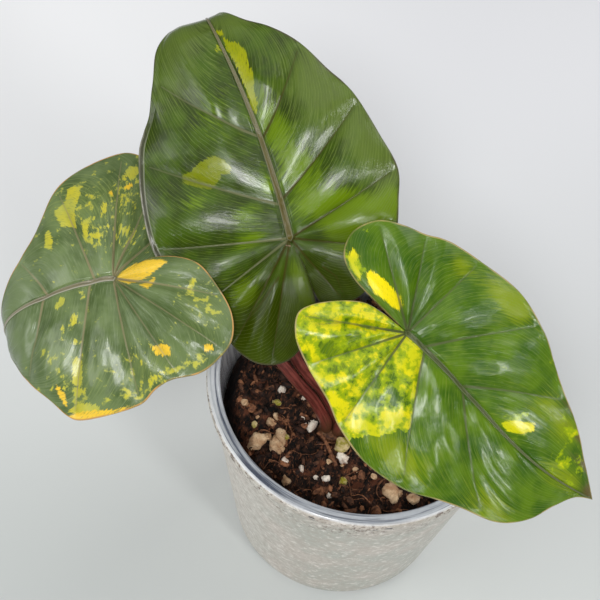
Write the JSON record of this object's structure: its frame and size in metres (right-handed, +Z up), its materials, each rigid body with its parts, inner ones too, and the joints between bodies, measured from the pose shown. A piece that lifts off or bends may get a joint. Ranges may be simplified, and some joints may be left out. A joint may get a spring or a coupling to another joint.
{
  "type": "potted syngonium plant",
  "caption": "Young variegated syngonium with broad arrow-shaped leaves on reddish petioles, rooted in soil with pumice in a clear tapered nursery pot.",
  "frame": {"origin": "centre of the pot's flat base, on the ground", "axes": "+Z up along the pot's axis, +X to the right and +Y away from a viewer who stands in front of the plant"},
  "size_m": [0.1571, 0.0993, 0.17],
  "materials": {
    "clear_plastic": "clear, with a dried mineral film on the outside",
    "soil_mix": "rough",
    "stem_skin": "matt",
    "petiole_skin": "satin",
    "leaf_green": "glossy",
    "leaf_marbled": "glossy",
    "leaf_grey_green": "glossy"
  },
  "bodies": {
    "root": {"pot": "clear_plastic", "soil": "soil_mix", "stem": "stem_skin", "petiole_back": "petiole_skin", "petiole_left": "petiole_skin", "petiole_right": "petiole_skin", "blade_back": "leaf_green", "blade_right": "leaf_marbled", "blade_left": "leaf_grey_green"}
  },
  "joints": []
}
